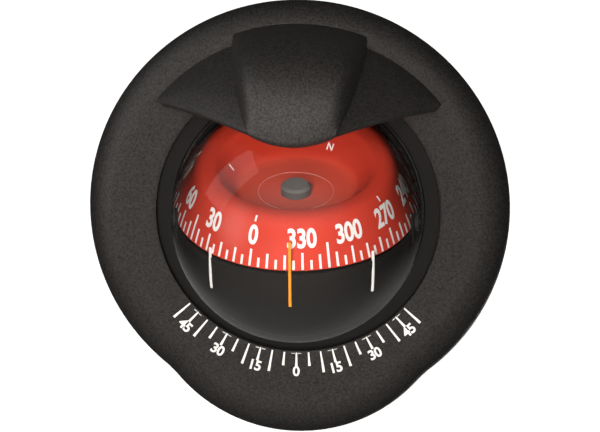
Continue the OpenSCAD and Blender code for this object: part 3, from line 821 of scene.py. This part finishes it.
# a pale studio sweep: a floor that curves up into a wall all round, evenly bright
sweep_profile = [(0.0, -450.0), (1500.0, -450.0), (3600.0, -450.0)]
sweep_profile += [(3600 + 1400 * math.sin(math.radians(a)), 950 - 1400 * math.cos(math.radians(a))) for a in range(10, 91, 10)]
sweep_profile += [(5000.0, 5000.0)]
sweep_rows = []
for r, z in sweep_profile[1:]:
    sweep_rows.append([(r * MM * math.cos(math.radians(k * 5)), r * MM * math.sin(math.radians(k * 5)), z * MM) for k in range(72)])
sv, sf = loops(sweep_rows, False)
floor_me = bpy.data.meshes.new("floor")
floor_me.from_pydata(sv, [], sf + [tuple(range(72))])
floor_me.shade_smooth()
floor = bpy.data.objects.new("floor", floor_me)
pale = finish("floor_pale", (0.80, 0.80, 0.80), 0.9, vary=0.01, grain=60, depth=0.01, patch=3, spec=0.05)
pale_shader = [n for n in pale.node_tree.nodes if n.type == "BSDF_PRINCIPLED"][0]
pale_shader.inputs["Emission Color"].default_value = (1.0, 1.0, 1.0, 1)
pale_shader.inputs["Emission Strength"].default_value = 1.0
floor_me.materials.append(pale)
# the sweep is background only: it throws no light back and isn't mirrored in the gloss
floor.visible_diffuse = False
floor.visible_glossy = False
floor.visible_shadow = False
scene.collection.objects.link(floor)

# room light: bright in front of the panel, dim above and behind it
world = bpy.data.worlds.new("studio")
scene.world = world
world.use_nodes = True
wn = world.node_tree.nodes
way = wn.new("ShaderNodeTexCoord")
facing = wn.new("ShaderNodeVectorMath")
facing.operation = "DOT_PRODUCT"
facing.inputs[1].default_value = (-0.16, -0.96, 0.20)
world.node_tree.links.new(way.outputs["Generated"], facing.inputs[0])
glow = wn.new("ShaderNodeMapRange")
glow.interpolation_type = "SMOOTHSTEP"
glow.inputs["From Min"].default_value = -0.4
glow.inputs["From Max"].default_value = 1.0
glow.inputs["To Min"].default_value = 0.06
glow.inputs["To Max"].default_value = 0.56
world.node_tree.links.new(facing.outputs["Value"], glow.inputs["Value"])
world.node_tree.links.new(glow.outputs["Result"], wn["Background"].inputs["Strength"])
wn["Background"].inputs["Color"].default_value = (1.0, 0.92, 0.87, 1)
# it shows in the gloss; the lamps light the colours
world.cycles_visibility.diffuse = False

# camera at the photograph's angle: in the flange's frame a little to the right and above
AZ, EL, ROLL, DIST, FOCAL = math.radians(3.2), math.radians(12.1), math.radians(0.6), 1300.0, 3260.0


def tilt_dir(p):
    return tilt(p) / MM


toward = tilt_dir((math.sin(AZ) * math.cos(EL), math.sin(EL), math.cos(AZ) * math.cos(EL))).normalized()
right0 = tilt_dir((0, 1, 0)).cross(toward).normalized()
up0 = toward.cross(right0).normalized()
right = right0 * math.cos(ROLL) + up0 * math.sin(ROLL)
up = up0 * math.cos(ROLL) - right0 * math.sin(ROLL)
aim = tilt((0, 0, DOME_W)) + (right * 3.3 + up * 1.3) * (DIST / FOCAL) * MM
cam_data = bpy.data.cameras.new("camera")
cam = bpy.data.objects.new("camera", cam_data)
scene.collection.objects.link(cam)
cam_data.sensor_width = 36.0
cam_data.lens = FOCAL * 36.0 / 600.0
cam_data.clip_start, cam_data.clip_end = 0.05, 60.0
cam.matrix_world = Matrix((
    (right.x, up.x, toward.x, (aim + toward * DIST * MM).x),
    (right.y, up.y, toward.y, (aim + toward * DIST * MM).y),
    (right.z, up.z, toward.z, (aim + toward * DIST * MM).z),
    (0, 0, 0, 1),
))
scene.camera = cam


def softbox(name, direction, distance, width, height, radiance, colour=(1, 1, 1), target=None, spread_deg=180, soft=False):
    """A rectangular lamp that faces the target from a direction given in the camera's right, up, towards axes."""
    d = (right0 * direction[0] + up0 * direction[1] + toward * direction[2]).normalized()
    t = target or tilt((0, 0, 20))
    data = bpy.data.lights.new(name, "AREA")
    data.shape, data.size, data.size_y = "RECTANGLE", width, height
    data.energy = radiance * math.pi * width * height
    data.color = colour
    data.spread = math.radians(spread_deg)
    if soft:
        # the panel fades out towards its edges
        data.use_nodes = True
        n, wire = data.node_tree.nodes, data.node_tree.links
        spot = n.new("ShaderNodeNewGeometry")
        off = n.new("ShaderNodeVectorMath")
        off.operation = "DISTANCE"
        off.inputs[1].default_value = (0.5, 0.5, 0.0)
        fade = n.new("ShaderNodeMapRange")
        fade.interpolation_type = "SMOOTHSTEP"
        fade.inputs["From Min"].default_value = 0.5
        fade.inputs["From Max"].default_value = 0.05
        wire.new(spot.outputs["Parametric"], off.inputs[0])
        wire.new(off.outputs["Value"], fade.inputs["Value"])
        glowing = [k for k in n if k.type == "EMISSION"][0]
        wire.new(fade.outputs["Result"], glowing.inputs["Strength"])
    ob = bpy.data.objects.new(name, data)
    scene.collection.objects.link(ob)
    ob.location = t + d * distance
    ob.rotation_mode = "QUATERNION"
    ob.rotation_quaternion = (-d).to_track_quat("-Z", "Y")
    return ob


# the four panels show as soft reflections, the lamps beside and below the camera light the colours
softbox("key", (-0.735, 0.42, 0.26), 1.25, 0.62, 1.05, 0.92).visible_diffuse = False
softbox("scrim", (-0.05, 0.19, 0.97), 1.75, 4.8, 2.2, 0.84, (1.0, 0.92, 0.87), soft=True).visible_diffuse = False
softbox("fill", (-0.25, -0.5, 0.8), 1.75, 1.9, 1.5, 0.48, (1.0, 0.92, 0.87), soft=True).visible_diffuse = False
softbox("side", (-0.84, -0.13, 0.53), 1.5, 1.3, 1.6, 2.0, (1.0, 0.92, 0.87), soft=True).visible_diffuse = False
softbox("front", (-0.12, 0.05, 1.0), 1.6, 0.6, 0.8, 23.3, (1.0, 0.97, 0.94)).visible_glossy = False
softbox("low", (-0.05, -0.85, 0.50), 1.3, 1.0, 0.7, 3.4, (1.0, 0.97, 0.94)).visible_glossy = False
# light for the back of the case
softbox("rear", (0.30, -0.10, -1.0), 1.6, 0.8, 0.8, 5.0)

scene.view_settings.view_transform = "Standard"
